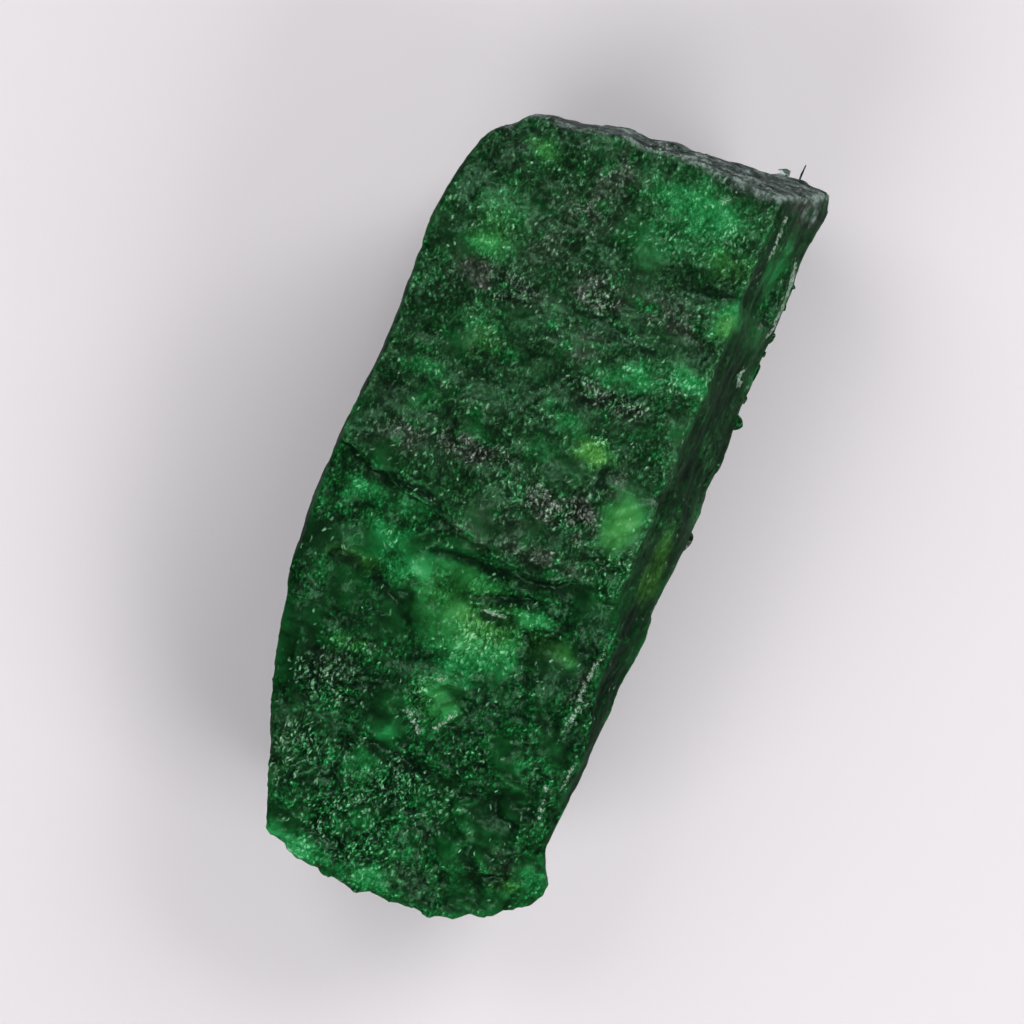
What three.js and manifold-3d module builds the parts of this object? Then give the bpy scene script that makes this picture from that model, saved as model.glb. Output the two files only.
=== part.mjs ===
// A raw emerald crystal: a broken length of beryl prism, lying on one of its long faces.
//
// Millimetres. +Y runs along the crystal's long axis, +Z is up, and the origin is the middle of
// the box that holds the crystal, on the surface that it rests on.
//
// The crystal is one piece. It is the hull of its corners, roughened into lumps, and then chipped
// by a few fractures, which are as lumpy themselves. The face that it rests on stays flat.
import * as THREE from 'three';
import { ConvexGeometry } from 'three/addons/geometries/ConvexGeometry.js';
import { ImprovedNoise } from 'three/addons/math/ImprovedNoise.js';
import { TessellateModifier } from 'three/addons/modifiers/TessellateModifier.js';
import { mergeVertices } from 'three/addons/utils/BufferGeometryUtils.js';
import Module from 'manifold-3d';

const wasm = await Module();
wasm.setup();

// Driving dimensions.
const HEIGHT = 14; // rest face to the highest part of the broken upper face
const WAIST = 8.8; // height of the widest part, on the right
const TOE = 8.2; // height at which the upper face runs out at the lower end
const FACET = 2.2; // longest edge of a facet
const LUMPS = [[8, 0.8], [3.4, 0.45]]; // [size, height] of the lumps on a broken face
const PRISM_FACE_LUMPS = 0.4; // height of the lumps on a grown prism face, as a share of those

// Corners of the upper face, from the top left round to the right. It is a fracture, so it tips
// down to the left, and further down to the lower end.
const UPPER_FACE = [
  [-9.6, 15.4, HEIGHT - 1.8],
  [-8.8, 18.2, HEIGHT - 2.1],
  [-7.2, 19.8, HEIGHT - 2.0],
  [-3.0, 20.7, HEIGHT - 0.9],
  [7.3, 21.2, HEIGHT - 0.2],
  [7.9, -2.5, HEIGHT],
  [8.6, -15.8, TOE + 3.2],
  [11.8, -19.8, TOE + 0.3],
  [11.4, -20.8, TOE],
  [9.4, -21.9, TOE],
  [7.9, -23.2, TOE - 0.2],
  [2.4, -23.8, TOE],
  [-1.0, -23.9, TOE],
  [-4.3, -23.3, TOE + 0.2],
  [-5.5, -20.9, TOE + 0.8],
  [-8.2, -11.4, TOE + 3.1],
  [-9.4, -8.6, HEIGHT - 2.0],
];

// Corners of the widest part, where the sloping side and end faces turn back under.
const GIRDLE = [
  [-9.0, 16.2, WAIST - 2],
  [-2.6, 21.0, WAIST - 1.5],
  [7.7, 22.6, WAIST - 1],
  [10.2, 22.7, WAIST],
  [10.5, 21.8, WAIST],
  [11.1, -6.0, WAIST],
  [11.4, -19.6, WAIST - 3],
  [6.9, -22.5, WAIST - 4],
  [-3.4, -22.6, WAIST - 4],
  [-8.8, -8.0, WAIST - 2],
];

// Corners of the rest face.
const FOOT = [
  [-6.2, 15.4, 0],
  [-3.6, 19.0, 0],
  [6.4, 21.0, 0],
  [8.0, 19.6, 0],
  [7.8, -15.0, 0],
  [6.0, -19.8, 0],
  [-1.8, -20.6, 0],
  [-3.6, -18.8, 0],
  [-6.0, -7.6, 0],
];

// A closed three.js geometry as a manifold-3d solid.
function solid(geometry) {
  return new wasm.Manifold(new wasm.Mesh({
    numProp: 3,
    vertProperties: new Float32Array(geometry.attributes.position.array),
    triVerts: new Uint32Array(geometry.index.array),
  }));
}

// A geometry with nothing but position, its shared vertices merged.
function merged(geometry) {
  const bare = geometry.clone();
  bare.deleteAttribute('normal');
  bare.deleteAttribute('uv');
  return mergeVertices(bare, 1e-4);
}

// How much of the lumps' height shows at a place with this outward normal.
function lumpShare(point, normal) {
  const aboveRestFace = THREE.MathUtils.smoothstep(point.z, 0.05, 1.5);
  const onPrismFace = THREE.MathUtils.smoothstep(Math.abs(normal.x), 0.7, 0.9);
  return aboveRestFace * THREE.MathUtils.lerp(1, PRISM_FACE_LUMPS, onPrismFace);
}

// The geometry in small facets, with each vertex moved in or out along its normal by the lumps.
function lumpy(geometry) {
  const noise = new ImprovedNoise();
  const faceted = merged(new TessellateModifier(FACET, 30).modify(merged(geometry)));
  faceted.computeVertexNormals();
  const { position, normal } = faceted.attributes;
  const point = new THREE.Vector3();
  const outward = new THREE.Vector3();
  for (let i = 0; i < position.count; i++) {
    point.fromBufferAttribute(position, i);
    outward.fromBufferAttribute(normal, i);
    const rise = LUMPS.reduce((sum, [size, height]) =>
      sum + height * noise.noise(point.x / size, point.y / size, point.z / size), 0);
    point.addScaledVector(outward, rise * lumpShare(point, outward));
    position.setXYZ(i, point.x, point.y, point.z);
  }
  return faceted;
}

// A cutter tipped about Y, dipped about X and turned about Z, in degrees, and set at a place.
function cutter(geometry, [tip, dip, turn], place) {
  return solid(lumpy(geometry
    .rotateY(THREE.MathUtils.degToRad(tip))
    .rotateX(THREE.MathUtils.degToRad(dip))
    .rotateZ(THREE.MathUtils.degToRad(turn))
    .translate(...place)));
}

// A step across the upper face: everything below it has split off along a steeper plane.
function step(turn, y, drop) {
  const size = 30;
  const block = new THREE.BoxGeometry(size, size, size / 2).translate(0, -size / 2, size / 4);
  return cutter(block, [-6, 13, turn], [0, y, HEIGHT - drop]);
}

// A shallow three-cornered flake scar that points to the lower end.
function flakeScar(place) {
  const wedge = new THREE.CylinderGeometry(2.7, 2.3, 3, 3).rotateX(Math.PI / 2).translate(0, 0, 1.5);
  return cutter(wedge, [-4, 20, 6], place);
}

// A split down the right side, from its head to its foot, where the nose flares out again. It is
// upright, so the cutter has the same outline at the bottom and the top.
function sideSplit(head, foot, nose) {
  const clear = 30; // an X well outside the crystal
  const outline = [head, foot, nose, [clear, nose[1]], [clear, head[1]]];
  const corners = outline.flatMap(([x, y]) => [-1, HEIGHT + 5].map((z) => [x, y, z]));
  return solid(lumpy(new ConvexGeometry(corners.map((corner) => new THREE.Vector3(...corner)))));
}

// A scoop out of a side or an end.
function scoop(radii, place) {
  return cutter(new THREE.SphereGeometry(1, 16, 10).scale(...radii), [0, 0, 0], place);
}

// Moves the geometry so that the origin is the middle of its box, on the rest face.
function centred(geometry) {
  geometry.computeBoundingBox();
  const middle = geometry.boundingBox.getCenter(new THREE.Vector3());
  return geometry.translate(-middle.x, -middle.y, -geometry.boundingBox.min.z);
}

function crystalGeometry() {
  const corners = [...UPPER_FACE, ...GIRDLE, ...FOOT].map((corner) => new THREE.Vector3(...corner));
  const chipped = solid(lumpy(new ConvexGeometry(corners)))
    .subtract(step(-11, -2.8, 1.5))
    .subtract(step(8, -3.4, 1.5))
    .subtract(flakeScar([1.0, -12.0, 10.2]))
    .subtract(scoop([1.8, 4.8, 2.5], [10.2, 16.8, 12.6]))
    .subtract(sideSplit([11.5, 30], [10.6, -17.2], [13.4, -22.8]))
    .subtract(scoop([3.0, 8.0, 4.5], [-10.4, 3.0, 3.2]))
    .subtract(scoop([5.5, 3.6, 4.2], [1.2, -25.4, 3.6]))
    .subtract(scoop([4.5, 3.0, 4.5], [-6.6, 22.6, 4.2]));
  const { vertProperties, triVerts } = chipped.getMesh();
  return centred(new THREE.BufferGeometry()
    .setAttribute('position', new THREE.BufferAttribute(vertProperties, 3))
    .setIndex(new THREE.BufferAttribute(triVerts, 1)));
}

const emerald = new THREE.MeshStandardMaterial({ color: 0x20472a, roughness: 0.3, metalness: 0 });
const crystal = new THREE.Mesh(crystalGeometry(), emerald);
crystal.name = 'emerald_crystal';

const rawEmerald = new THREE.Group();
rawEmerald.add(crystal);

export default rawEmerald;
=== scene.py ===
"""A raw emerald crystal: a broken length of beryl prism that lies on one of its long faces.

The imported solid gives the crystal's outline and its main fractures. This script copies it into a
fine mesh, works the small relief of broken and grown beryl into it, marks on that mesh where the
stone is clear, veiled or cracked for the material to read, and adds the crumbs that cling to it.

Lengths are written in millimetres and turned into metres where an object is made. +Y runs along
the crystal, +Z is up, and the origin is the middle of the rest face.
"""
import math
import random

import bmesh
import bpy
import numpy as np
from mathutils import Matrix, Vector, noise


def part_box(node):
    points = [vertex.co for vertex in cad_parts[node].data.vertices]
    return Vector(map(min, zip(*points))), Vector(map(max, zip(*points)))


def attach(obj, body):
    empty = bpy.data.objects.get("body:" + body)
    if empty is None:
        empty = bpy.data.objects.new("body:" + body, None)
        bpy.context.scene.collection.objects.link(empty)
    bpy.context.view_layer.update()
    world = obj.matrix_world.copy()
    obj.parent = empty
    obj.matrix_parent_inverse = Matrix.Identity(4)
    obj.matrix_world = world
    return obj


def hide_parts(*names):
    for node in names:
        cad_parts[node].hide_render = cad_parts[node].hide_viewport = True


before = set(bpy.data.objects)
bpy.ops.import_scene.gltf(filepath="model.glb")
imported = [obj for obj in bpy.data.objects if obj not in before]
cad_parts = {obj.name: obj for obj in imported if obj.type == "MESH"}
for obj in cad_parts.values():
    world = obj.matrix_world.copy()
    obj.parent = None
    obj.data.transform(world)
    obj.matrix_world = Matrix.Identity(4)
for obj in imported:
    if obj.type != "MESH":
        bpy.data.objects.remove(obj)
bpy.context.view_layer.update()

NOISE_SEED = 4  # noise_vector would differ from run to run without one
noise.seed_set(NOISE_SEED)

MM = 0.001
X, Y, Z = range(3)
NODE = "emerald_crystal"

PAPER_COLOUR = "#e8e5eb"
PAPER_HALF_WIDTH = 1500
SKY_COLOUR = "#e6e6ee"
SKY_STRENGTH = 0.14
LAMP_COLOUR = "#fffdfa"

# The camera looks down from 300 mm above the table, a little to the crystal's -X side.
CAMERA_PLACE = Vector((-35.0, 6.6, 300.0))
CAMERA_TARGET = Vector((0.3, -0.2, 9.0))
CAMERA_TURN = 24.0  # degrees that the crystal's long axis leans to the right of straight up
CAMERA_FIELD = 57.0  # width of what the camera sees at its target
SENSOR = 36.0

# Wide soft lights all round. They are hidden from reflections, as behind crossed polarisers, so
# that their glare doesn't grey the stone: [name, direction across the table, height, watts].
SOFT_LIGHTS = [
    ("key", (-0.93, 0.36), 380, 1.1), ("right", (0.93, -0.36), 260, 1.6),
    ("far", (0.36, 0.93), 260, 1.9), ("near", (-0.36, -0.93), 260, 1.85),
]
SOFT_LIGHT_REACH = 470
SOFT_LIGHT_SIZE = 360

# Small lamps that show only in reflections and put the glints on the facets: [direction, height].
GLINT_LAMPS = [((-0.8, 0.6), 330), ((0.9, 0.3), 280), ((0.3, -0.95), 330), ((-0.1, 1.0), 320)]
GLINT_LAMP_REACH = 240
GLINT_LAMP_SIZE = 40
GLINT_LAMP_WATTS = 0.32

GRAIN = 0.215  # edge length of the fine mesh
WELD = 0.001  # vertices of the solid this close together are one

# Sizes of the chips that a fracture breaks into, and of the dents in a grown face.
CHIP = 1.7
SMALL_CHIP = 0.8
DENT = 3.4

SEAM = 0.3  # width of the seam between two chips, in chip sizes
STEP_HEIGHT = 0.05  # from one flat tread to the next
RISER = 0.28  # how much of a step is riser and not tread
SPIKE = (0.07, 0.12)  # how far out a vertex stands for its spike to start to wear, and to wear fully

# A vertex's normal points this far along X on a prism face that grew, instead of breaking: partly
# grown from the first number on, and wholly from the second.
GROWN = (0.62, 0.85)
HACKLY_END = (-9, -15)  # Y where the lower end starts to turn hackly, and where it is fully so
BASE_TONE = 0.335  # where 0 is all but black and 1 is the palest the stone can be
BAND_STRETCH = (0.12, 0.5, 0.5)  # makes bands that are long across the crystal and 2 mm thick

# Sizes of the tiny facets of crushed beryl.
FINE = 0.2
COARSE = 0.55

# The faces of small fractures show as dashes of this width, length and depth, some brightened as
# painted glints. They lie two ways, turned so many degrees from the crystal's length.
DASH = (0.14, 0.27, 0.25)
DASH_TURNS = (28, -45)
# Each pattern of facets brightens its facets at random: partly the stone's grain, partly painted
# glints.
FACET_WEIGHTS = {FINE: 0.5, COARSE: 0.12, DASH_TURNS[0]: 0.55, DASH_TURNS[1]: 0.55}

# What the upper face shows. Patches are [x, y, half length along X, half length along Y, strength]
# and lines are points, all as seen from above.
PATCH_EDGE = 1.8  # how sharply a patch ends, where 1 is as soft as a bell curve

# Clear beryl, painted brighter green as a painted glow from within.
GLOWS = [
    (2.6, 19.4, 3.1, 1.4, 0.6), (4.2, 19.2, 1.3, 1.0, 0.1), (1.8, 17.2, 2.6, 1.1, 0.4),
    (5.0, 17.4, 1.2, 1.0, 0.4), (-6.8, 18.7, 1.3, 0.6, 0.6), (-7.4, 12.8, 1.2, 0.8, 0.7),
    (-7.6, 14.9, 1.6, 1.6, 0.4), (-6.0, 8.1, 2.0, 1.4, 0.28), (6.2, 14.3, 0.9, 1.3, 0.7),
    (5.6, 10.4, 1.3, 0.9, 0.7), (3.3, 9.5, 1.1, 0.9, 0.6), (1.4, 8.9, 1.1, 0.7, 0.35),
    (0.5, 15.9, 1.4, 0.8, 0.25), (-7.9, 5.3, 1.4, 0.5, 0.5), (-7.1, 3.5, 0.8, 0.6, 0.5),
    (2.4, 4.8, 1.5, 0.8, 0.75), (5.5, 1.7, 1.1, 1.9, 0.8), (0.6, 5.6, 1.1, 0.6, 0.45),
    (-0.9, 6.4, 0.4, 0.4, 0.4), (-0.4, 3.6, 1.0, 0.8, 0.3), (-7.9, -2.2, 1.6, 0.7, 0.6),
    (-5.2, -2.0, 1.2, 0.6, 0.6), (-5.7, -4.0, 1.6, 0.8, 0.6), (-2.9, -4.8, 1.2, 1.0, 0.65),
    (-0.1, -4.3, 1.8, 0.6, 0.6), (-1.6, -6.4, 1.6, 1.1, 0.6), (1.4, -6.6, 2.2, 1.0, 0.6),
    (3.3, -5.2, 1.2, 0.5, 0.65), (2.8, -8.0, 1.0, 1.2, 0.7), (0.3, -8.2, 1.9, 1.0, 0.7),
    (5.9, -6.5, 0.7, 0.5, 0.5), (0.8, -9.6, 1.4, 0.7, 0.6), (0.5, -11.8, 1.2, 1.2, 0.55),
    (-5.5, -10.4, 1.3, 0.6, 0.35), (-1.3, -14.3, 0.6, 0.5, 0.45), (-1.6, -16.5, 1.8, 1.1, 0.35),
    (4.0, -17.0, 1.0, 0.8, 0.25), (4.3, -12.9, 0.6, 1.0, 0.25), (-3.7, -22.2, 2.2, 0.9, 0.75),
    (1.4, -22.1, 2.2, 0.8, 0.6), (-1.3, -19.6, 1.4, 1.0, 0.35), (2.3, -20.3, 0.8, 1.0, 0.4),
    (9.7, -18.9, 1.1, 1.3, 0.45), (8.3, -19.7, 1.2, 0.6, 0.3), (8.1, 18.3, 0.7, 2.0, 0.55),
    (8.3, 15.0, 0.7, 1.6, 0.25), (8.6, 0.3, 0.6, 2.4, 0.5), (-3.4, -5.9, 1.4, 0.8, 0.35),
    (1.6, -8.4, 1.2, 0.8, 0.2), (-0.2, -10.9, 1.4, 0.6, 0.3), (-6.4, -5.3, 1.4, 0.7, 0.35),
    (-4.6, -5.2, 1.2, 0.8, 0.3), (-7.6, -6.9, 1.6, 0.6, 0.25), (-0.6, -12.4, 0.6, 0.5, 0.25),
    (1.4, -12.0, 0.5, 0.7, 0.3), (0.7, -13.4, 0.4, 0.7, 0.3),
]

# Dark green depths. Those that lie long along a crack are painted shade below its step.
DEPTHS = [
    (6.8, 17.6, 0.5, 2.4, 0.35), (-1.3, 18.4, 0.5, 2.0, 0.3), (-8.6, 17.2, 0.9, 1.4, 0.4),
    (4.6, 15.2, 1.8, 0.5, 0.25), (7.6, 9.0, 0.7, 3.0, 0.3), (7.8, 5.0, 0.8, 2.0, 0.25),
    (-9.2, 0.5, 0.5, 6.0, 0.3), (5.5, -7.9, 1.0, 0.9, 0.3), (6.5, -4.9, 0.8, 1.6, 0.35),
    (4.3, -2.9, 1.6, 0.4, 0.25), (-9.6, -7.6, 0.7, 2.4, 0.4), (-5.5, -12.0, 2.2, 0.9, 0.5),
    (-7.0, -13.8, 0.9, 1.4, 0.45), (1.1, -15.4, 1.4, 0.5, 0.4), (-4.2, -16.0, 1.6, 0.8, 0.25),
    (5.8, -15.4, 1.4, 1.0, 0.3), (3.8, -21.6, 1.5, 0.7, 0.35), (7.0, -19.5, 1.0, 0.5, 0.4),
    (-2.4, -12.2, 1.0, 0.9, 0.25), (8.8, -8.0, 0.9, 4.5, 0.25), (7.8, -16.6, 0.9, 1.6, 0.25),
]

# Veils of tiny fractures, brownish grey.
VEILS = [
    (-2.3, 18.4, 1.2, 2.6, 0.55), (-3.9, 16.2, 1.7, 1.5, 0.35), (-0.7, 12.8, 1.6, 1.0, 1.0),
    (2.8, 13.6, 1.6, 0.9, 0.6), (4.6, 12.8, 1.3, 0.6, 0.7), (-6.0, 11.1, 2.6, 0.8, 0.9),
    (-4.4, 13.8, 1.4, 1.4, 0.35), (-0.4, 9.8, 1.3, 1.0, 0.5), (2.0, 7.6, 2.2, 0.5, 0.75),
    (-3.5, 2.1, 2.4, 0.7, 0.9), (-7.4, 1.4, 1.5, 1.0, 0.6), (1.7, 1.0, 1.9, 0.8, 0.8),
    (3.3, 1.0, 1.0, 1.3, 0.75), (2.4, -1.8, 2.7, 0.8, 0.85), (-1.6, -2.1, 1.7, 0.6, 0.6),
    (4.4, 3.7, 0.5, 0.9, 0.6), (-0.8, -0.6, 2.2, 0.6, 0.5), (-5.5, -12.0, 2.0, 0.9, 0.5),
    (-6.4, -16.8, 1.0, 2.4, 0.45), (3.7, -21.4, 1.6, 0.8, 0.35), (7.7, -18.2, 0.9, 0.9, 0.6),
    (7.3, -7.2, 0.35, 1.4, 0.9), (8.4, 22.0, 1.6, 1.4, 0.7),
]

# Where the green turns yellowish.
YELLOWS = [
    (6.3, 13.9, 0.7, 0.8, 0.5), (2.5, 4.7, 1.4, 0.8, 0.75), (5.5, 1.6, 1.1, 1.9, 0.45),
    (-6.8, 18.8, 1.2, 0.6, 0.4), (-5.4, 7.8, 1.0, 0.9, 0.35), (5.2, 17.0, 1.2, 1.0, 0.45),
    (-7.1, -5.9, 1.6, 0.4, 0.7), (1.2, -6.5, 1.8, 0.7, 0.25), (5.0, -6.4, 1.4, 0.8, 0.5),
    (8.7, 0.2, 0.6, 2.4, 0.9), (8.0, -19.5, 1.3, 0.4, 0.6), (-5.2, -10.4, 1.2, 0.5, 0.4),
    (0.0, -6.0, 3.2, 2.2, 0.3), (0.5, -11.5, 1.4, 1.4, 0.2), (-7.4, 13.4, 1.4, 1.4, 0.25),
]

# Where fine facets glint most.
SPARKLES = [
    (5.0, 18.6, 0.9, 0.7, 0.5), (2.2, 17.0, 2.4, 1.2, 0.4), (-5.2, 11.2, 2.2, 1.0, 0.6),
    (-0.4, 12.6, 1.4, 0.9, 0.7), (2.2, 7.8, 2.4, 0.6, 0.8), (4.8, 9.9, 1.0, 0.6, 0.6),
    (-3.6, 2.2, 2.4, 0.7, 0.6), (1.8, 1.0, 2.2, 0.9, 1.0), (5.6, -0.6, 1.0, 0.7, 0.6),
    (2.8, 5.5, 0.8, 0.6, 0.8), (1.0, -7.6, 2.6, 1.6, 0.5), (-5.2, -10.6, 1.6, 0.8, 0.5),
    (-5.6, -12.8, 2.0, 1.4, 0.9), (-0.4, -12.0, 0.9, 1.2, 0.6), (0.0, -16.8, 3.4, 1.4, 0.9),
    (-0.8, -20.0, 3.0, 1.8, 0.8), (3.6, -13.4, 1.0, 1.2, 0.5), (3.6, -17.0, 1.6, 1.6, 0.5),
    (-5.4, -17.4, 1.4, 2.0, 0.7),
]

# Cracks: [drop, points]. The stone is lower by the drop on the -Y side of a crack.
CRACKS = [
    (0.32, [(-8.9, -0.9), (-7.0, -1.2), (-4.9, -1.1), (-3.4, -1.7)]),
    (0.30, [(-4.0, -4.2), (-3.1, -3.7), (-0.3, -3.5), (2.1, -3.2), (4.9, -2.4), (7.0, -2.0)]),
    (0.24, [(-0.1, -5.2), (2.2, -4.5), (3.7, -4.0)]),
    (0.20, [(0.3, -6.0), (1.4, -6.1), (2.9, -5.7)]),
    (0.18, [(-8.6, -6.3), (-7.2, -6.1), (-6.0, -5.7)]),
    (0.06, [(-6.7, -5.9), (-4.6, -6.9), (-3.4, -7.6), (-2.1, -8.5)]),
    (0.20, [(-2.5, 11.4), (0.6, 11.3), (2.2, 10.8), (4.2, 11.0)]),
    (0.16, [(-6.5, 10.1), (-5.0, 10.5), (-3.9, 11.0)]),
    (0.22, [(-0.6, 6.9), (1.4, 7.5), (3.0, 8.3), (4.6, 8.6)]),
    (0.12, [(3.3, 14.9), (5.2, 15.4), (7.0, 15.9)]),
    (0.06, [(3.6, 2.6), (3.7, 3.7), (3.6, 4.9)]),
    (0.06, [(0.4, -2.7), (0.9, -2.3), (3.6, -2.5)]),
    (0.10, [(-4.2, -14.8), (-1.6, -15.3), (1.8, -15.2)]),
    (0.16, [(5.2, -18.2), (7.0, -19.8), (8.4, -18.8)]),
]
CRACK_EDGE = 0.12  # half the width over which a crack drops
CRACK_RECOVERY = 2.2  # how far below a crack the surface takes to come up again
CRACK_GROOVE = 0.10  # depth of the open crack itself
CRACK_GROOVE_WIDTH = 0.2
RIM_HEIGHT = 0.12
RIM_WIDTH = 0.25
LINE_ENDS = 0.3  # the share of a crack or a rim over which it dies out, at each end
LINE_TAPER = 0.25  # how much it has narrowed there
OUT_OF_REACH = 2.0  # a distance at which a crack or a rim doesn't show

# Rims and the lips of small flakes, which stand a little proud and carry a painted highlight: [half
# width, points].
RIMS = [
    (0.02, [(7.0, 21.2), (7.2, 20.7), (7.25, 19.0), (7.3, 17.8)]),
    (0.02, [(8.6, 20.1), (9.3, 18.6), (9.5, 17.0), (9.5, 15.0), (8.9, 12.8)]),
    (0.02, [(8.9, 12.8), (8.7, 11.8), (9.1, 10.9)]),
    (0.0, [(7.8, -3.2), (7.85, -4.2), (7.6, -6.0), (7.6, -7.2), (7.8, -8.6), (7.7, -10.5),
            (7.6, -12.3)]),
    (0.0, [(7.8, -12.6), (8.2, -14.0), (8.6, -16.2)]),
    (0.0, [(9.0, -10.8), (8.9, -12.4), (9.0, -13.9)]),
    (0.0, [(-1.5, -11.1), (-0.4, -10.5), (0.6, -10.15), (1.6, -10.0)]),
    (0.04, [(-1.7, -11.5), (-0.7, -12.5), (0.2, -13.3), (0.8, -14.2)]),
    (0.0, [(2.1, -11.0), (1.5, -12.3), (0.8, -13.4)]),
    (0.0, [(0.3, -5.75), (1.5, -5.7), (2.8, -5.45)]),
    (0.0, [(3.2, 19.9), (3.9, 20.5)]),
]

# Crumbs on the right side: [y, half length, half width, tone, veil].
CRUMBS = [
    (21.0, 0.24, 0.14, 0.4, 0.2), (17.7, 0.24, 0.2, 0.25, 0.3), (16.1, 0.3, 0.14, 0.3, 0.6),
    (14.5, 0.34, 0.2, 0.35, 0.5), (13.8, 0.16, 0.22, 0.4, 0.4), (12.2, 0.8, 0.12, 0.15, 0.3),
    (10.6, 0.22, 0.16, 0.4, 0.8), (9.5, 0.5, 0.46, 0.42, 0.1), (1.7, 0.7, 0.5, 0.4, 1.0),
    (2.5, 0.3, 0.3, 0.35, 0.9), (-12.6, 0.5, 0.14, 0.2, 0.3), (-14.3, 0.7, 0.2, 0.12, 0.2),
]
CRUMB_SEED = 5
CRUMB_CUTS = 10  # flat sides of a crumb
CRUMB_REACH = (0.45, 0.95)  # how far from its middle a flat side may be, for a crumb of radius 1
CRUMB_BALL = 1.35  # radius of the ball that it is cut from
CRUMB_SPARKLE = 0.3
SUNK = 0.4  # how deep a crumb's middle lies in the stone, as a share of its half width
NO_LINE = 9.0  # distance that keeps cracks and rims off the crumbs
NEAR = 0.3  # how far a place may be from where a crumb should lie

# A dark needle on the upper end, near the right corner: [x, half sizes, tone, veil].
NEEDLE = (7.4, (0.06, 0.62, 0.06), 0.1, 0.5)
NEEDLE_OUT = 0.8  # how far its middle stands out, as a share of its half length

# A clear grain beside the needle: [x, half sizes].
CLEAR_GRAIN = (6.8, (0.45, 0.26, 0.28))
CLEAR_GRAIN_OUT = 0.6
CLEAR_GRAIN_SEED = 11


def smooth_share(low, high, value):
    """0 below low, 1 above high and an even S-curve in between, for a number or an array."""
    share = np.clip((value - low) / (high - low), 0, 1)
    return share * share * (3 - 2 * share)


def linear(hex_colour):
    """An sRGB hex colour such as '#20472a' as a linear RGBA tuple."""
    channels = [int(hex_colour[i:i + 2], 16) / 255 for i in (1, 3, 5)]
    return tuple(c / 12.92 if c <= 0.04045 else ((c + 0.055) / 1.055) ** 2.4
                 for c in channels) + (1.0,)


# --------------------------------------------------------------------------- camera and studio

def make_camera():
    """A camera above the table, turned so that the crystal leans to the right."""
    data = bpy.data.cameras.new("camera")
    camera = bpy.data.objects.new("camera", data)
    bpy.context.scene.collection.objects.link(camera)
    forward = (CAMERA_TARGET - CAMERA_PLACE).normalized()
    turn = math.radians(CAMERA_TURN)
    right = forward.cross(Vector((-math.sin(turn), math.cos(turn), 0))).normalized()
    up = right.cross(forward)
    camera.matrix_world = Matrix.LocRotScale(
        CAMERA_PLACE * MM, Matrix((right, up, -forward)).transposed(), None)
    data.sensor_width = SENSOR
    data.lens = SENSOR * (CAMERA_TARGET - CAMERA_PLACE).length / CAMERA_FIELD
    data.clip_start = 0.01
    data.clip_end = 10
    bpy.context.scene.camera = camera


def make_light(name, toward, reach, height, size, watts):
    """A square light that faces the crystal. Lengths are in millimetres."""
    data = bpy.data.lights.new(name, "AREA")
    data.size = size * MM
    data.energy = watts
    data.color = linear(LAMP_COLOUR)[:3]
    light = bpy.data.objects.new(name, data)
    bpy.context.scene.collection.objects.link(light)
    across = Vector(toward).normalized() * reach
    place = Vector((across.x, across.y, height))
    light.location = place * MM
    light.rotation_euler = (-place).to_track_quat("-Z", "Y").to_euler()
    return light


def make_studio():
    """A white sheet, a dim even sky and the lights."""
    floor_data = bpy.data.meshes.new("floor")
    shape = bmesh.new()
    bmesh.ops.create_grid(shape, x_segments=1, y_segments=1, size=PAPER_HALF_WIDTH * MM)
    shape.to_mesh(floor_data)
    shape.free()
    floor = bpy.data.objects.new("floor", floor_data)
    bpy.context.scene.collection.objects.link(floor)
    paper = bpy.data.materials.new("white_paper")
    paper.use_nodes = True
    shader = paper.node_tree.nodes["Principled BSDF"]
    shader.inputs["Base Color"].default_value = linear(PAPER_COLOUR)
    shader.inputs["Roughness"].default_value = 0.9
    floor_data.materials.append(paper)
    floor.visible_glossy = False

    world = bpy.data.worlds.new("studio")
    bpy.context.scene.world = world
    world.use_nodes = True
    background = world.node_tree.nodes["Background"]
    background.inputs["Color"].default_value = linear(SKY_COLOUR)
    background.inputs["Strength"].default_value = SKY_STRENGTH
    for name, toward, height, watts in SOFT_LIGHTS:
        light = make_light(name, toward, SOFT_LIGHT_REACH, height, SOFT_LIGHT_SIZE, watts)
        light.visible_glossy = False
    for toward, height in GLINT_LAMPS:
        lamp = make_light("glint_lamp", toward, GLINT_LAMP_REACH, height, GLINT_LAMP_SIZE,
                          GLINT_LAMP_WATTS)
        lamp.visible_diffuse = False
    bpy.context.scene.view_settings.view_transform = "Standard"


# --------------------------------------------------------------------------- meshes

def finish_piece(name, mesh, material):
    """Makes a mesh in millimetres a piece of the object."""
    mesh.transform(Matrix.Scale(MM, 4))
    mesh.name = name
    mesh.materials.append(material)
    piece = bpy.data.objects.new(name, mesh)
    bpy.context.scene.collection.objects.link(piece)
    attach(piece, "root")
    return piece


def store(mesh, fields):
    """Stores each field, a value per vertex, as an attribute of that name."""
    for name, values in fields.items():
        attribute = mesh.attributes.new(name, "FLOAT", "POINT")
        attribute.data.foreach_set("value", values.astype(np.float32))


def fine_copy(node):
    """The node's solid as one closed mesh of even small quads, in millimetres."""
    shape = bmesh.new()
    shape.from_mesh(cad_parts[node].data)
    bmesh.ops.remove_doubles(shape, verts=shape.verts, dist=WELD * MM)
    bmesh.ops.transform(shape, matrix=Matrix.Scale(1 / MM, 4), verts=shape.verts)
    coarse = bpy.data.objects.new("coarse", bpy.data.meshes.new("coarse"))
    shape.to_mesh(coarse.data)
    shape.free()
    bpy.context.scene.collection.objects.link(coarse)
    remesh = coarse.modifiers.new("even_quads", "REMESH")
    remesh.mode = "VOXEL"
    remesh.voxel_size = GRAIN
    evaluated = coarse.evaluated_get(bpy.context.evaluated_depsgraph_get())
    mesh = bpy.data.meshes.new_from_object(evaluated)
    bpy.data.objects.remove(coarse)
    return mesh


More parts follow.
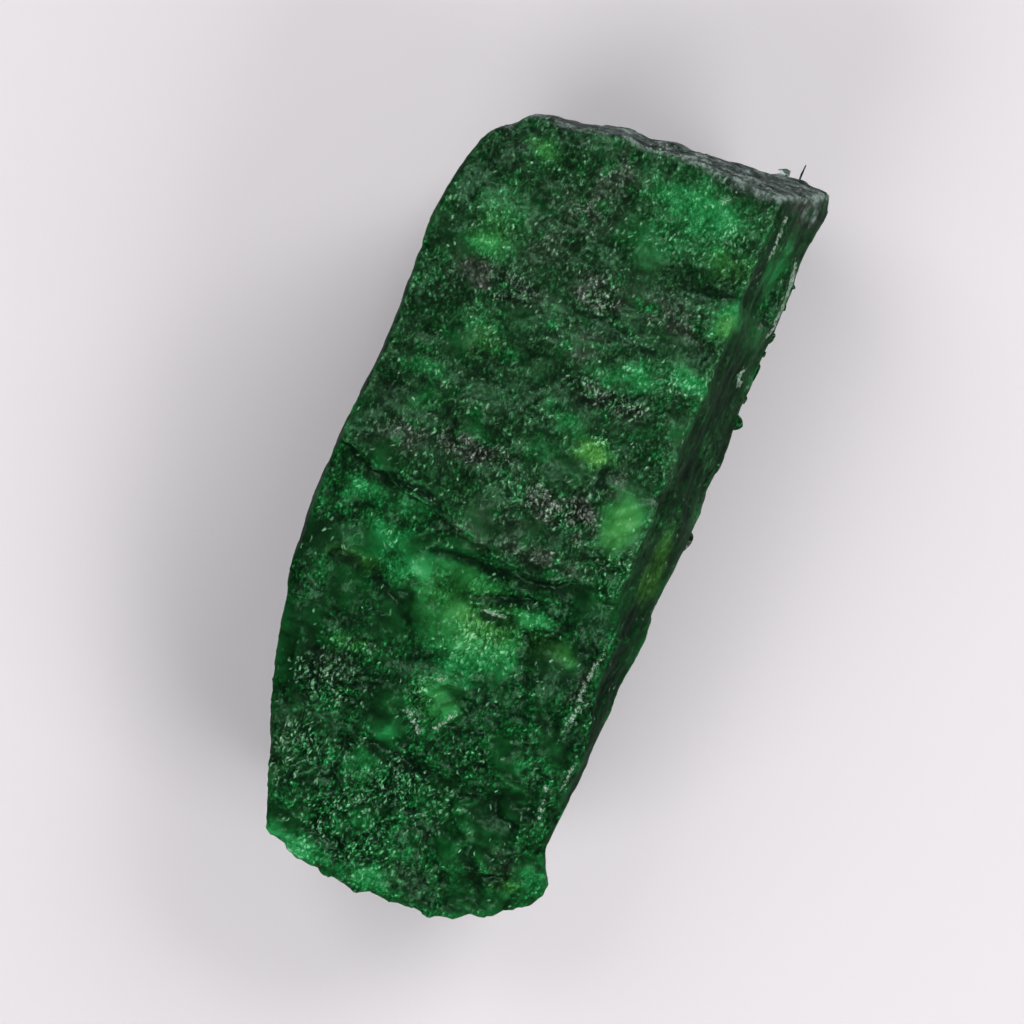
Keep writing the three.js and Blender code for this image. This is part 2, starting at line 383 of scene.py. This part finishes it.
def places(mesh):
    """Each vertex's place, as an array with a row for each."""
    co = np.empty(len(mesh.vertices) * 3, np.float32)
    mesh.vertices.foreach_get("co", co)
    return co.reshape(-1, 3).astype(float)


def normals(mesh):
    """Each vertex's outward direction, as an array with a row for each."""
    out = np.empty(len(mesh.vertices) * 3, np.float32)
    mesh.vertex_normals.foreach_get("vector", out)
    return out.reshape(-1, 3).astype(float)


def move_to(mesh, co):
    """Moves each vertex to its row of the array."""
    mesh.vertices.foreach_set("co", co.astype(np.float32).ravel())
    mesh.update()


def edge_ends(mesh):
    """The two vertices of each edge, and how many edges each vertex has."""
    ends = np.empty(len(mesh.edges) * 2, np.int32)
    mesh.edges.foreach_get("vertices", ends)
    return ends.reshape(-1, 2), np.bincount(ends, minlength=len(mesh.vertices)).astype(float)


def neighbour_mean(values, ends, count):
    """For each vertex, the mean of the values at the far ends of its edges."""
    total = np.zeros_like(values)
    np.add.at(total, ends[:, 0], values[ends[:, 1]])
    np.add.at(total, ends[:, 1], values[ends[:, 0]])
    return total / (count[:, None] if values.ndim == 2 else count)


def soften(mesh, rounds, share):
    """Moves each vertex a share of the way to the mean of its neighbours, some rounds over."""
    co = places(mesh)
    ends, count = edge_ends(mesh)
    for _ in range(rounds):
        co += share * (neighbour_mean(co, ends, count) - co)
    move_to(mesh, co)


def blunt(mesh, rounds):
    """Wears down thin spikes, which a broken edge loses first."""
    co = places(mesh)
    ends, count = edge_ends(mesh)
    for _ in range(rounds):
        pull = neighbour_mean(co, ends, count) - co
        co += pull * smooth_share(*SPIKE, np.linalg.norm(pull, axis=1))[:, None]
    move_to(mesh, co)


def keep_in_box(mesh, low, high):
    """Squeezes the mesh into the box, from its own slightly different one."""
    co = places(mesh)
    was_low, was_high = co.min(0), co.max(0)
    move_to(mesh, low + (co - was_low) * (high - low) / (was_high - was_low))


def crests(mesh, reach):
    """How far each vertex stands out from its surroundings: +1 on a crest, -1 in a crack."""
    co = places(mesh)
    ends, count = edge_ends(mesh)
    mean = co.copy()
    for _ in range(reach):
        mean = neighbour_mean(mean, ends, count)
    proud = ((co - mean) * normals(mesh)).sum(1)
    return np.clip(proud / (2.5 * proud.std()), -1, 1)


# --------------------------------------------------------------------------- the crystal's relief

def terraces(p):
    """Level ground and sudden steps: beryl parts across its length, into flat treads."""
    drift = Vector((p.x * 0.11, p.y * 0.36, p.z * 0.3))
    level = 3.1 * noise.noise(drift) + 1.1 * noise.noise(drift * 2.7 + Vector((9, 4, 1)))
    tread = math.floor(level)
    riser = min(max((level - tread - (1 - RISER)) / RISER, 0), 1)
    return tread + riser * riser * (3 - 2 * riser)


def chips(p, size):
    """Splits space into chips of about this size. Gives the place, warped and in chip sizes, and
    the nearest chips' distances and middles."""
    q = p / size + noise.noise_vector(p / (size * 2.2)) * 0.7
    return q, *noise.voronoi(q, distance_metric="DISTANCE")


def shards(p, size, lean):
    """Height of flat chips of about this size, each leaning its own way."""
    q, _, middles = chips(p, size)
    tilt = noise.noise_vector(middles[0] * 5.3 + Vector((3.1, 7.7, 1.3)))
    return (q - middles[0]).dot(tilt) * size * lean


def seam(p, size):
    """1 where two chips of this size meet, 0 inside a chip."""
    _, distances, _ = chips(p, size)
    return smooth_share(SEAM, 0, distances[1] - distances[0])


def crumple(p, size):
    """Thin crooked ridges, from 0 to about 1."""
    return 0.5 * noise.ridged_multi_fractal(p / size, 0.9, 2.1, 3, 1.0, 1.6)


def broken_relief(p, rough):
    """Height in millimetres of the relief on a fracture. Rough is 0 where it is flat, 1 hackly."""
    lumps = 0.22 * noise.noise(p / 2.6) + 0.12 * noise.noise(p / 1.1 + Vector((5, 5, 5)))
    leans = shards(p, CHIP, 0.12 + 0.26 * rough) + shards(p, SMALL_CHIP, 0.12 + 0.20 * rough)
    folds = (0.10 + 0.08 * rough) * crumple(Vector((p.x * 0.7, p.y, p.z)), 1.5)
    return STEP_HEIGHT * terraces(p) + leans + folds + lumps * (1 + 0.8 * rough)


def grown_relief(p):
    """Height in millimetres of the relief on a prism face: fine grooves along the crystal."""
    along = Vector((p.x * 1.9, p.y * 0.10, p.z * 1.9))
    return (0.08 * noise.noise(along) + 0.05 * noise.noise(along * 2.3)
            + 0.10 * noise.noise(p / 4.0) + shards(p, DENT, 0.06) + STEP_HEIGHT * terraces(p))


def line_field(co, points):
    """Each place's distance to a line, how far to the line's left it is, and how far along."""
    distance = np.full(len(co), np.inf)
    leftward = np.zeros(len(co))
    onward = np.zeros(len(co))
    for number, (start, end) in enumerate(zip(points, points[1:])):
        run = np.subtract(end, start)
        length = np.hypot(*run)
        off = co[:, :Z] - start
        along = off @ run / length ** 2
        left = (run[X] * off[:, Y] - run[Y] * off[:, X]) / length
        past = np.maximum(np.maximum(-along, along - 1), 0) * length
        away = np.hypot(left, past)
        nearer = away < distance
        distance = np.where(nearer, away, distance)
        leftward = np.where(nearer, left, leftward)
        onward = np.where(nearer, (number + np.clip(along, 0, 1)) / (len(points) - 1), onward)
    return distance, leftward, onward


def inside_ends(onward):
    """1 along the middle of a line, easing to 0 at its ends."""
    return smooth_share(0, LINE_ENDS, onward) * smooth_share(1, 1 - LINE_ENDS, onward)


def crack_relief(co):
    """Depth of the cracks and of the ledges below them, which come up again slowly."""
    rise = np.zeros(len(co))
    for drop, points in CRACKS:
        distance, left, onward = line_field(co, points)
        inside = inside_ends(onward)
        fall = smooth_share(CRACK_EDGE, -CRACK_EDGE, left)
        fall *= np.exp(np.minimum(left, 0) / CRACK_RECOVERY)
        groove = CRACK_GROOVE * np.exp(-(distance / CRACK_GROOVE_WIDTH) ** 2)
        rise -= inside * (drop * fall + groove)
    return rise


def nearest(co, lines):
    """Distance from the edge of the nearest line. Lines thin out towards their ends."""
    away = []
    for half_width, points in lines:
        distance, _, onward = line_field(co, points)
        inside = inside_ends(onward)
        away.append(distance - half_width * inside + LINE_TAPER * (1 - inside))
    return np.min(away, axis=0)


def painted(co, patches):
    """The sum of the soft-edged patches' strengths at each place."""
    total = np.zeros(len(co))
    for x, y, half_x, half_y, strength in patches:
        away = ((co[:, X] - x) / half_x) ** 2 + ((co[:, Y] - y) / half_y) ** 2
        total += strength * np.exp(-away ** PATCH_EDGE)
    return total


def wander(co, size, reach):
    """The places, each moved by up to about the reach, to wear straight rims ragged."""
    return co + np.array([noise.noise_vector(Vector(p) / size) for p in co]) * reach


def rim_relief(co):
    """Height of the rims, which stand a little proud."""
    return RIM_HEIGHT * np.exp(-(np.maximum(nearest(co, RIMS), 0) / RIM_WIDTH) ** 2)


def work_relief(mesh):
    """Moves each vertex along its normal by the relief of the face that it is on."""
    co = places(mesh)
    outward = normals(mesh)
    strayed = wander(co, size=1.4, reach=0.45)
    grown = smooth_share(*GROWN, np.abs(outward[:, X]))
    top = smooth_share(0.3, 0.7, outward[:, Z])
    free = smooth_share(0.05, 1.2, co[:, Z])  # none of the relief shows at the rest face
    rough = np.clip(smooth_share(*HACKLY_END, co[:, Y]) + 0.6 * painted(strayed, VEILS), 0, 1)
    rise = np.empty(len(co))
    for i, point in enumerate(co):
        p = Vector(point)
        broken = broken_relief(p, rough[i]) if grown[i] < 1 else 0
        smooth = grown_relief(p) if grown[i] > 0 else 0
        rise[i] = broken * (1 - grown[i]) + smooth * grown[i]
    rise += top * crack_relief(strayed)
    rise += top * rim_relief(strayed)
    co += outward * (rise * free)[:, None]
    move_to(mesh, co)


def noise_at(co, size, shift=(0, 0, 0)):
    """Noise of this size at each place. The shift sets it apart from another of its size."""
    return np.array([noise.noise(Vector(p) / size + Vector(shift)) for p in co])


def mark_stone(mesh):
    """Stores on each vertex what the material needs to know about the stone there."""
    co = places(mesh)
    outward = normals(mesh)
    strayed = wander(wander(co, size=1.7, reach=0.35), size=0.6, reach=0.12)
    top = smooth_share(0.1, 0.5, outward[:, Z])
    grown = smooth_share(*GROWN, np.abs(outward[:, X]))
    glow = painted(strayed, GLOWS) * top
    mottle = noise_at(strayed, 2.6, (40, 0, 0))
    speck = noise_at(strayed, 1.0, (0, 70, 0))
    bands = noise_at(strayed * BAND_STRETCH, 1.0)
    seams = np.array([seam(Vector(p), CHIP) for p in strayed])

    # The upper half is hazier than the lower, which has more clear windows. Its grey haze is partly
    # veil and partly a painted sheen.
    haze = 0.35 * smooth_share(-4, 2, co[:, Y]) * (1 - np.clip(1.5 * glow, 0, 1))
    veil = np.clip(painted(strayed, VEILS) + haze, 0, 1) * top
    windows = np.clip(noise_at(strayed, 2.2, (0, 0, 30)), 0, 1)
    windows *= 1 - 0.5 * smooth_share(-5, 1, co[:, Y])
    tone = BASE_TONE + 0.10 * mottle + 0.05 * speck - 0.10 * seams - 0.07 * grown
    # A painted glow brightens the clear patches, and the depths darken the stone.
    tone += 0.57 * np.minimum(glow, 0.85) - 0.35 * painted(strayed, DEPTHS) * top
    tone += 0.13 * veil + 0.2 * bands * grown
    veil += np.clip(bands, 0, 1) * (1 - top) * (1 - 0.7 * grown)

    # The upper end gets a grey painted sheen, as a face seen at a grazing angle shows: all over high
    # up, and in patches below.
    sheen_high_up = smooth_share(3, 8.5, co[:, Z])
    patchy = sheen_high_up + (1 - sheen_high_up) * np.clip(0.35 + 1.2 * mottle + 0.5 * speck, 0, 1)
    end = np.maximum(smooth_share(0.35, 0.75, outward[:, Y]),
                     smooth_share(20.9, 21.4, strayed[:, Y]))

    # Cracks show only on the upper face, and rims only where the surface faces up at all.
    off_top = OUT_OF_REACH * (1 - top)
    not_up = OUT_OF_REACH * smooth_share(0.2, 0, outward[:, Z])
    store(mesh, {
        "tone": tone, "veil": veil, "grown": grown, "calm": np.clip(0.8 * glow + 3 * windows, 0, 1),
        "yellow": painted(strayed, YELLOWS) * top, "end": end * (1 - grown) * patchy,
        "sparkle": painted(strayed, SPARKLES) * top * (1 - grown),
        "crack": nearest(strayed, [(0, points) for _, points in CRACKS]) + off_top,
        "rim": nearest(wander(co, size=0.8, reach=0.12), RIMS) + not_up,
        "crest": crests(mesh, reach=2), "hollow": -crests(mesh, reach=14),
    })


def make_crystal(beryl):
    """The whole crystal. Gives the places of its surface, in millimetres."""
    mesh = fine_copy(NODE)
    low, high = (np.array(corner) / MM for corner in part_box(NODE))
    soften(mesh, rounds=2, share=0.5)
    work_relief(mesh)
    soften(mesh, rounds=1, share=0.3)
    blunt(mesh, rounds=20)
    keep_in_box(mesh, low, high)
    mark_stone(mesh)
    mesh.shade_smooth()
    surface = places(mesh)
    crystal = finish_piece("raw_emerald", mesh, beryl)
    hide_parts(NODE)
    return surface


# --------------------------------------------------------------------------- crumbs

def outermost(surface, along, across, value):
    """The place furthest out along one axis, among those with about this value on another."""
    near = surface[np.abs(surface[:, across] - value) < NEAR]
    return Vector(near[near[:, along].argmax()])


def crumb(shape, place, half_sizes, draw):
    """Adds a crumb with flat broken sides, and returns its vertices."""
    verts = bmesh.ops.create_icosphere(shape, subdivisions=3, radius=CRUMB_BALL)["verts"]
    for _ in range(CRUMB_CUTS):
        facing = Vector([draw.gauss(0, 1) for _ in range(3)]).normalized()
        reach = draw.uniform(*CRUMB_REACH)
        for vertex in verts:
            vertex.co -= facing * max(vertex.co.dot(facing) - reach, 0)
    bmesh.ops.scale(shape, vec=half_sizes, verts=verts)
    bmesh.ops.translate(shape, vec=place, verts=verts)
    return verts


def make_crumbs(surface, beryl):
    """The crumbs and the needle, as one mesh."""
    draw = random.Random(CRUMB_SEED)
    shape = bmesh.new()
    tones, veils = [], []
    for y, half_length, half_width, tone, veil in CRUMBS:
        place = outermost(surface, X, Y, y) - Vector((SUNK * half_width, 0, 0))
        verts = crumb(shape, place, (half_width, half_length, half_width), draw)
        tones += [tone] * len(verts)
        veils += [veil] * len(verts)
    x, half_sizes, tone, veil = NEEDLE
    place = outermost(surface, Y, X, x) + Vector((0, NEEDLE_OUT * half_sizes[Y], 0))
    verts = crumb(shape, place, half_sizes, draw)
    tones += [tone] * len(verts)
    veils += [veil] * len(verts)
    mesh = bpy.data.meshes.new("clinging_crumbs")
    shape.to_mesh(mesh)
    shape.free()
    far = np.full(len(mesh.vertices), NO_LINE)
    store(mesh, {"tone": np.array(tones), "veil": np.array(veils), "crack": far, "rim": far,
                 "sparkle": np.full(len(mesh.vertices), CRUMB_SPARKLE)})
    finish_piece("clinging_crumbs", mesh, beryl)


def make_clear_grain(surface):
    """One crumb of clear beryl, with a material of its own."""
    x, half_sizes = CLEAR_GRAIN
    shape = bmesh.new()
    place = outermost(surface, Y, X, x) + Vector((0, CLEAR_GRAIN_OUT * half_sizes[Y], 0))
    crumb(shape, place, half_sizes, random.Random(CLEAR_GRAIN_SEED))
    mesh = bpy.data.meshes.new("clear_grain")
    shape.to_mesh(mesh)
    shape.free()
    finish_piece("clear_grain", mesh, make_clear_beryl())


# --------------------------------------------------------------------------- materials

# Sockets of a Mix node that mixes colours: its inputs and its output. A Math node's inputs go by
# number too: MULTIPLY_ADD gives 0 times 1 plus 2.
FACTOR = 0
UNDER = 6
OVER = 7
MIXED = 2

# What the stone gives back from its darkest shade to its brightest: plain, yellowish and veiled.
SHADES = (0.0, 0.25, 0.45, 0.62, 0.8, 1.0)
GREENS = ("#020f05", "#073011", "#105022", "#187038", "#2e9454", "#84c89a")
YELLOW_GREENS = ("#061203", "#143009", "#285618", "#40782a", "#5c9642", "#b4d690")
GREYS = ("#0d120b", "#1a221a", "#363f36", "#545e55", "#7a857d", "#aab4ad")

# Noises by name: [size in millimetres, kind]. The finest real grain is under 0.05 mm and is drawn
# at 0.1, to show.
NOISES = {
    "clump": (0.9, "FBM"), "folds": (0.7, "RIDGED_MULTIFRACTAL"), "grain": (0.25, "FBM"),
    "fleck": (0.1, "FBM"),
}

# How much each noise adds to the texture, and what all noises and facets add up to on average.
GRAIN_WEIGHT = 0.8
NOISE_WEIGHTS = {"fleck": 0.6, "clump": 0.06, "folds": 0.08}
TEXTURE_MEAN = 1.115


def add(tree, kind, settings=None, links=None):
    """Adds a node. Settings are the node's own, an input's value or a ramp's stops.

    Links join an input, by its name or number, to a socket or to another node's first output.
    """
    node = tree.nodes.new(kind)
    for name, value in (settings or {}).items():
        if name == "stops":
            elements = node.color_ramp.elements
            while len(elements) < len(value):
                elements.new(0.5)
            for element, (place, colour) in zip(elements, value):
                element.position = place
                element.color = linear(colour)
        elif isinstance(name, str) and hasattr(node, name):
            setattr(node, name, value)
        else:
            node.inputs[name].default_value = value
    for name, source in (links or {}).items():
        socket = source.outputs[0] if isinstance(source, bpy.types.Node) else source
        tree.links.new(socket, node.inputs[name])
    return node


def stone_patterns(tree):
    """The noises by name, and the patterns of facets by their size or turn."""
    place = add(tree, "ShaderNodeTexCoord").outputs["Object"]
    in_mm = add(tree, "ShaderNodeMapping", {"Scale": (1 / MM,) * 3}, {"Vector": place})
    noises = {name: add(tree, "ShaderNodeTexNoise",
                        {"noise_type": kind, "Scale": 1 / size, "Detail": 2.0}, {"Vector": in_mm})
              for name, (size, kind) in NOISES.items()}

    # Facets are a little longer than they are wide, and the noises stir them out of their rows.
    stirred = add(tree, "ShaderNodeMapping", {"Scale": (1.15, 0.85, 1.0)}, {"Vector": in_mm})
    for name, reach in (("clump", 0.5), ("grain", 0.22)):
        stirred = add(tree, "ShaderNodeVectorMath", {"operation": "MULTIPLY_ADD", 1: (reach,) * 3},
                      {0: noises[name].outputs["Color"], 2: stirred})

    # Grooves run along the grown faces, and ragged layers across the broken end.
    for name, stretch, where in (("grooves", (4.0, 0.2, 4.0), in_mm),
                                 ("layers", (0.7, 1.8, 1.8), stirred)):
        drawn_out = add(tree, "ShaderNodeMapping", {"Scale": stretch}, {"Vector": where})
        noises[name] = add(tree, "ShaderNodeTexNoise", {"Scale": 1.0, "Detail": 4.0},
                           {"Vector": drawn_out})

    facets = {size: add(tree, "ShaderNodeTexVoronoi", {"Scale": 1 / size}, {"Vector": stirred})
              for size in (FINE, COARSE)}
    for turn in DASH_TURNS:
        lying = add(tree, "ShaderNodeMapping", {"vector_type": "TEXTURE", "Scale": DASH,
                                                "Rotation": (0, 0, math.radians(turn))},
                    {"Vector": stirred})
        facets[turn] = add(tree, "ShaderNodeTexVoronoi", {"Scale": 1.0}, {"Vector": lying})
    return noises, facets


def stone_shade(tree, fields, noises, draws, dots, sleek):
    """How bright the stone is, from 0 to about 1: its tone, and around that its texture."""
    texture = add(tree, "ShaderNodeMath",
                  {"operation": "MULTIPLY_ADD", 1: GRAIN_WEIGHT, 2: -TEXTURE_MEAN},
                  {0: noises["grain"]})
    for name, weight in NOISE_WEIGHTS.items():
        texture = add(tree, "ShaderNodeMath", {"operation": "MULTIPLY_ADD", 1: weight},
                      {0: noises[name], 2: texture})
    # Facets brightened at random: partly grain, partly painted glints.
    for key, weight in FACET_WEIGHTS.items():
        bright = add(tree, "ShaderNodeMath", {"operation": "MULTIPLY"},
                     {0: draws[key], 1: dots[key]})
        texture = add(tree, "ShaderNodeMath", {"operation": "MULTIPLY_ADD", 1: weight},
                      {0: bright, 2: texture})

    # It is strong on broken stone, and faint in clear patches and on grown faces.
    rough = add(tree, "ShaderNodeMath", {"operation": "MULTIPLY_ADD", 1: 0.4, 2: 0.85},
                {0: fields["sparkle"]})
    lively = add(tree, "ShaderNodeMath", {"operation": "MULTIPLY_ADD", 1: -0.75},
                 {0: fields["calm"], 2: rough})
    liveliness = add(tree, "ShaderNodeMath", {"operation": "MULTIPLY"}, {0: lively, 1: sleek})
    shade = add(tree, "ShaderNodeMath", {"operation": "MULTIPLY_ADD"},
                {0: texture, 1: liveliness, 2: fields["tone"]})
    # Brighter on crests, partly a painted highlight and partly pale bruising, and darker in cracks
    # and hollows.
    for weight, name in ((0.12, "crest"), (-0.04, "hollow")):
        shade = add(tree, "ShaderNodeMath", {"operation": "MULTIPLY_ADD", 1: weight},
                    {0: fields[name], 2: shade})
    streaks = add(tree, "ShaderNodeMath", {"operation": "MULTIPLY_ADD", 1: 0.3, 2: -0.15},
                  {0: noises["grooves"]})
    return add(tree, "ShaderNodeMath", {"operation": "MULTIPLY_ADD"},
               {0: streaks, 1: fields["grown"], 2: shade})


def body_colour(tree, fields, noises, shade, veil):
    """The stone's own green, turned yellowish, veiled in grey and stained with rust."""
    green, yellow, grey = (
        add(tree, "ShaderNodeValToRGB", {"stops": list(zip(SHADES, colours))}, {"Fac": shade})
        for colours in (GREENS, YELLOW_GREENS, GREYS))
    tinted = add(tree, "ShaderNodeMix", {"data_type": "RGBA"},
                 {FACTOR: fields["yellow"], UNDER: green, OVER: yellow}).outputs[MIXED]
    veiled = add(tree, "ShaderNodeMix", {"data_type": "RGBA"},
                 {FACTOR: veil, UNDER: tinted, OVER: grey}).outputs[MIXED]
    rusty = add(tree, "ShaderNodeMapRange", {"From Min": 0.52, "From Max": 0.7, "To Max": 0.45},
                {"Value": noises["folds"]})
    rust = add(tree, "ShaderNodeMath", {"operation": "MULTIPLY"}, {0: veil, 1: rusty})
    return add(tree, "ShaderNodeMix", {"data_type": "RGBA", OVER: linear("#33231a")},
               {FACTOR: rust, UNDER: veiled}).outputs[MIXED]


def with_painted_end_sheen(tree, colour, fields, noises, shade):
    """Paints the broken upper end grey, in ragged layers: a painted sheen, as of a face seen at a
    grazing angle.
    """
    dimmed = add(tree, "ShaderNodeMath", {"operation": "MULTIPLY_ADD", 1: 0.6, 2: -0.2},
                 {0: shade})
    layers = add(tree, "ShaderNodeMath", {"operation": "ADD"}, {0: dimmed, 1: noises["layers"]})
    layered = add(tree, "ShaderNodeValToRGB", {"stops": [
        (0.28, "#1b251f"), (0.5, "#4b5753"), (0.72, "#85928f")]}, {"Fac": layers})
    return add(tree, "ShaderNodeMix", {"data_type": "RGBA"},
               {FACTOR: fields["end"], UNDER: colour, OVER: layered}).outputs[MIXED]


def with_lines(tree, colour, fields, noises):
    """Draws painted shade along the cracks and grainy painted highlights along the rims. All are
    thin, crooked and broken.
    """
    for name, width, clear, strength, dim, bright in (
            ("crack", 0.5, 0.5, 0.8, "#020a05", "#020a05"),
            ("rim", 0.14, 0.46, 0.8, "#3f6a4c", "#bcd2c2")):
        crooked = add(tree, "ShaderNodeMath", {"operation": "MULTIPLY_ADD", 1: 0.6, 2: -0.3},
                      {0: noises["grain"]})
        away = add(tree, "ShaderNodeMath", {"operation": "ADD"}, {0: fields[name], 1: crooked})
        near = add(tree, "ShaderNodeMapRange",
                   {"interpolation_type": "SMOOTHSTEP", "From Min": width,
                    "From Max": 0.1 * width, "To Max": strength}, {"Value": away})
        broken = add(tree, "ShaderNodeMapRange", {"From Min": 0.3, "From Max": clear},
                     {"Value": noises["clump"]})
        line = add(tree, "ShaderNodeMath", {"operation": "MULTIPLY"}, {0: near, 1: broken})
        hue = add(tree, "ShaderNodeValToRGB", {"stops": [(0.38, dim), (0.64, bright)]},
                  {"Fac": noises["fleck"]})
        colour = add(tree, "ShaderNodeMix", {"data_type": "RGBA"},
                     {FACTOR: line, UNDER: colour, OVER: hue}).outputs[MIXED]
    return colour


def with_painted_glints(tree, colour, fields, draws, dots, sleek, veil):
    """Whitens a few dashes into painted glints, on those that happen to face the eye."""
    odds = add(tree, "ShaderNodeMath", {"operation": "MULTIPLY_ADD", 1: 0.22, 2: 0.02},
               {0: fields["sparkle"]})
    # The painted glints are mint green, and grey in the veils.
    glint_colour = add(tree, "ShaderNodeMix", {"data_type": "RGBA", UNDER: linear("#8ed4a0"),
                                          OVER: linear("#a3aca2")}, {FACTOR: veil}).outputs[MIXED]
    for turn in DASH_TURNS:
        pale = add(tree, "ShaderNodeMath", {"operation": "LESS_THAN"},
                   {0: draws[turn].outputs["Green"], 1: odds})
        for share in (dots[turn], dots[turn], draws[turn].outputs["Blue"], sleek):
            pale = add(tree, "ShaderNodeMath", {"operation": "MULTIPLY"}, {0: pale, 1: share})
        colour = add(tree, "ShaderNodeMix", {"data_type": "RGBA"},
                     {FACTOR: pale, UNDER: colour, OVER: glint_colour}).outputs[MIXED]
    return colour


def facet_normal(tree, fields, noises, facets, sleek):
    """The surface's direction: each facet leans its own way, under a wet skin."""
    hackly = add(tree, "ShaderNodeMath", {"operation": "MULTIPLY_ADD", 1: 0.4, 2: 0.45},
                 {0: fields["sparkle"]})
    lean = add(tree, "ShaderNodeMath", {"operation": "MULTIPLY"}, {0: hackly, 1: sleek})
    leaning = add(tree, "ShaderNodeNewGeometry").outputs["Normal"]
    for size, share in ((COARSE, 0.22), (FINE, 0.42)):
        centred = add(tree, "ShaderNodeVectorMath", {"operation": "SUBTRACT", 1: (0.5,) * 3},
                      {0: facets[size].outputs["Color"]})
        calmed = add(tree, "ShaderNodeVectorMath", {"operation": "SCALE"},
                     {0: centred, "Scale": lean})
        leaning = add(tree, "ShaderNodeVectorMath", {"operation": "MULTIPLY_ADD", 1: (share,) * 3},
                      {0: calmed, 2: leaning})
    leaning = add(tree, "ShaderNodeVectorMath", {"operation": "NORMALIZE"}, {0: leaning})
    return add(tree, "ShaderNodeBump", {"Strength": 0.1, "Distance": 0.03 * MM},
               {"Height": noises["fleck"], "Normal": leaning})


def make_beryl():
    """Raw emerald: beryl, IOR 1.58, broken and oiled.

    To the eye: dark bottle green with soft brighter patches that seem to lie below the surface,
    brownish grey grainy veils, dark cracks, and a wet gloss that breaks up into fine glints.
    """
    material = bpy.data.materials.new("raw_beryl")
    material.use_nodes = True
    tree = material.node_tree
    shader = tree.nodes["Principled BSDF"]
    fields = {name: add(tree, "ShaderNodeAttribute", {"attribute_name": name}).outputs["Fac"]
              for name in ("tone", "calm", "veil", "yellow", "grown", "end", "sparkle", "crack",
                           "rim", "crest", "hollow")}
    noises, facets = stone_patterns(tree)
    # Each facet has three random numbers of its own. A dot is 1 at its middle and 0 at its rim.
    draws = {key: add(tree, "ShaderNodeSeparateColor", None, {"Color": cells.outputs["Color"]})
             for key, cells in facets.items()}
    dots = {key: add(tree, "ShaderNodeMapRange", {"From Min": 0.75, "From Max": 0.1},
                     {"Value": cells.outputs["Distance"]}) for key, cells in facets.items()}
    sleek = add(tree, "ShaderNodeMapRange", {"To Min": 1.0, "To Max": 0.35},
                {"Value": fields["grown"]})
    ragged = add(tree, "ShaderNodeMapRange", {"From Min": 0.3, "From Max": 0.52},
                 {"Value": noises["clump"]})
    veil = add(tree, "ShaderNodeMath", {"operation": "MULTIPLY", "use_clamp": True},
               {0: fields["veil"], 1: ragged})

    # The colour holds painted light: a painted glow in the clear patches, painted shade along the
    # cracks, painted highlights on the rims and partly on crests, painted glints on the dashes and a
    # painted sheen on the upper end.
    shade = stone_shade(tree, fields, noises, draws, dots, sleek)
    colour = body_colour(tree, fields, noises, shade, veil)
    colour = with_painted_end_sheen(tree, colour, fields, noises, shade)
    colour = with_lines(tree, colour, fields, noises)
    colour = with_painted_glints(tree, colour, fields, draws, dots, sleek, veil)
    gloss = add(tree, "ShaderNodeMapRange",
                {"From Min": 0.0, "From Max": 0.7, "To Min": 0.34, "To Max": 0.26},
                {"Value": fields["sparkle"]})
    normal = facet_normal(tree, fields, noises, facets, sleek)
    tree.links.new(colour, shader.inputs["Base Color"])
    tree.links.new(gloss.outputs[0], shader.inputs["Roughness"])
    tree.links.new(normal.outputs[0], shader.inputs["Normal"])
    for name, value in {"IOR": 1.58, "Specular IOR Level": 0.25,
                        "Specular Tint": linear("#a8ffc4"),
                        "Subsurface Weight": 0.35, "Subsurface Radius": (0.5, 1.0, 0.6),
                        "Subsurface Scale": 0.25 * MM}.items():
        shader.inputs[name].default_value = value
    return material


def make_clear_beryl():
    """A grain of beryl with no flaws: to the eye, a drop of barely green glass."""
    material = bpy.data.materials.new("clear_beryl")
    material.use_nodes = True
    shader = material.node_tree.nodes["Principled BSDF"]
    for name, value in {"Base Color": linear("#e4f4ea"), "Roughness": 0.04, "IOR": 1.58,
                        "Transmission Weight": 1.0}.items():
        shader.inputs[name].default_value = value
    return material


make_camera()
make_studio()
beryl = make_beryl()
surface = make_crystal(beryl)
make_crumbs(surface, beryl)
make_clear_grain(surface)
